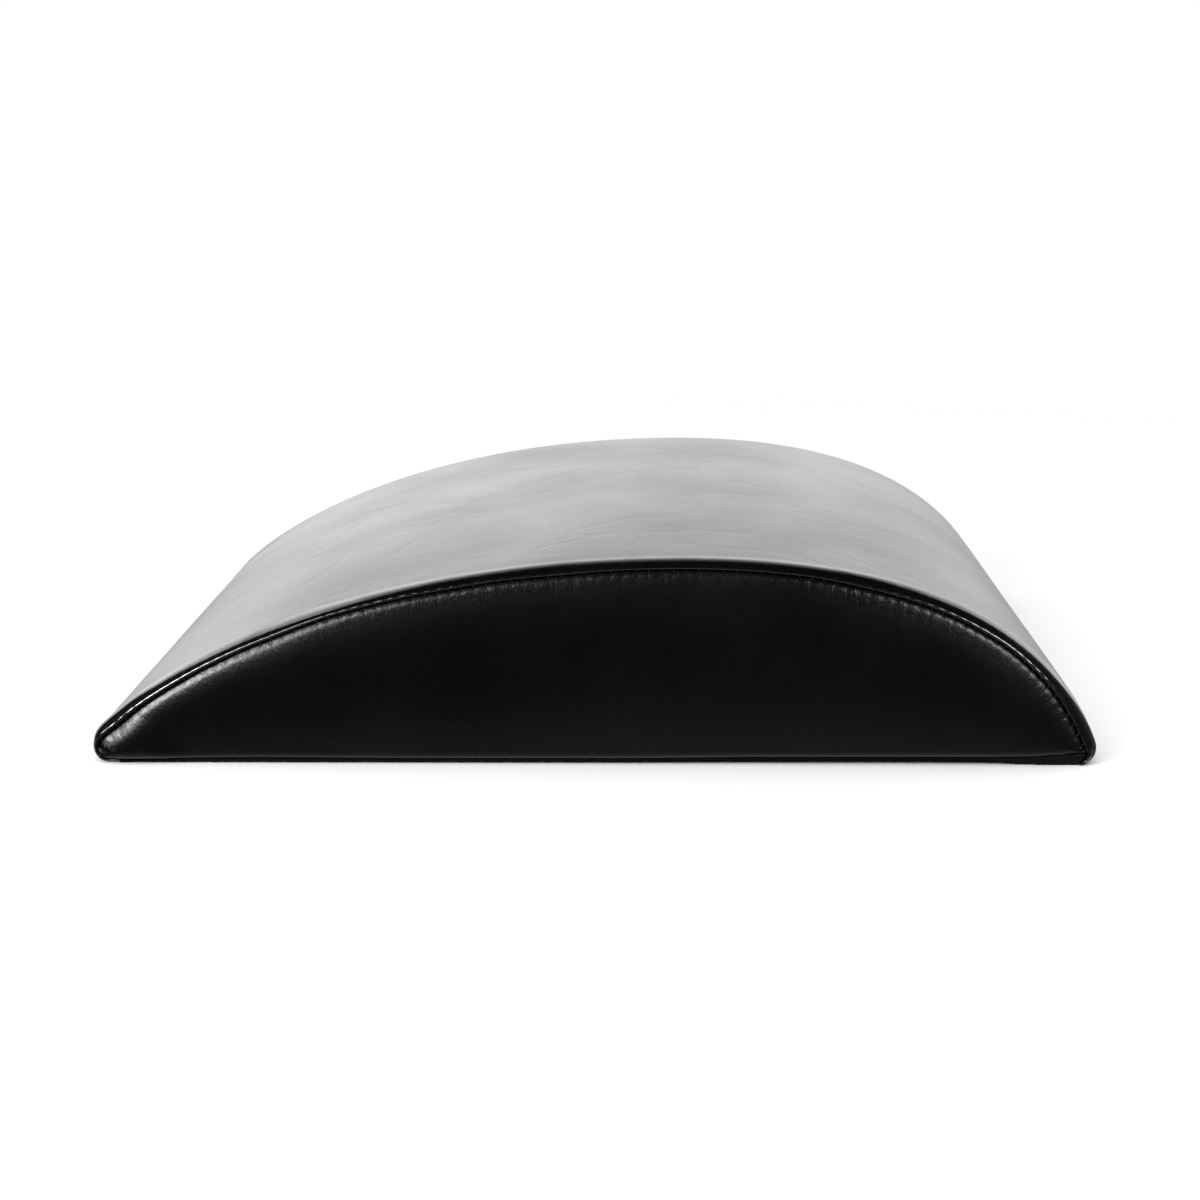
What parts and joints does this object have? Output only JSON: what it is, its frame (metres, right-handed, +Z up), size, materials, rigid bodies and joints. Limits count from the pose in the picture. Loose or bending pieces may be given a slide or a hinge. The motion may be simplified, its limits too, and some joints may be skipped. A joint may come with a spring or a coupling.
{
  "type": "ab mat",
  "caption": "Arched foam mat that supports the lower back in sit-ups, sewn into a leather-look cover with crowned ends and a non-slip base.",
  "frame": {"origin": "on the floor, below the middle of the mat's overall box", "axes": "+X from the low tip to the steep tip, +Y from the front end to the back end, +Z up"},
  "size_m": [0.38, 0.317, 0.0805],
  "materials": {
    "foam": "firm closed-cell foam, matte grey",
    "leather": "black PU leather, fine grain, soft sheen",
    "base_fabric": "black anti-slip fabric, ribbed weave, matte"
  },
  "bodies": {
    "root": {"foam_core": "foam", "top_panel": "leather", "front_end_panel": "leather", "back_end_panel": "leather", "base_panel": "base_fabric"}
  },
  "joints": []
}
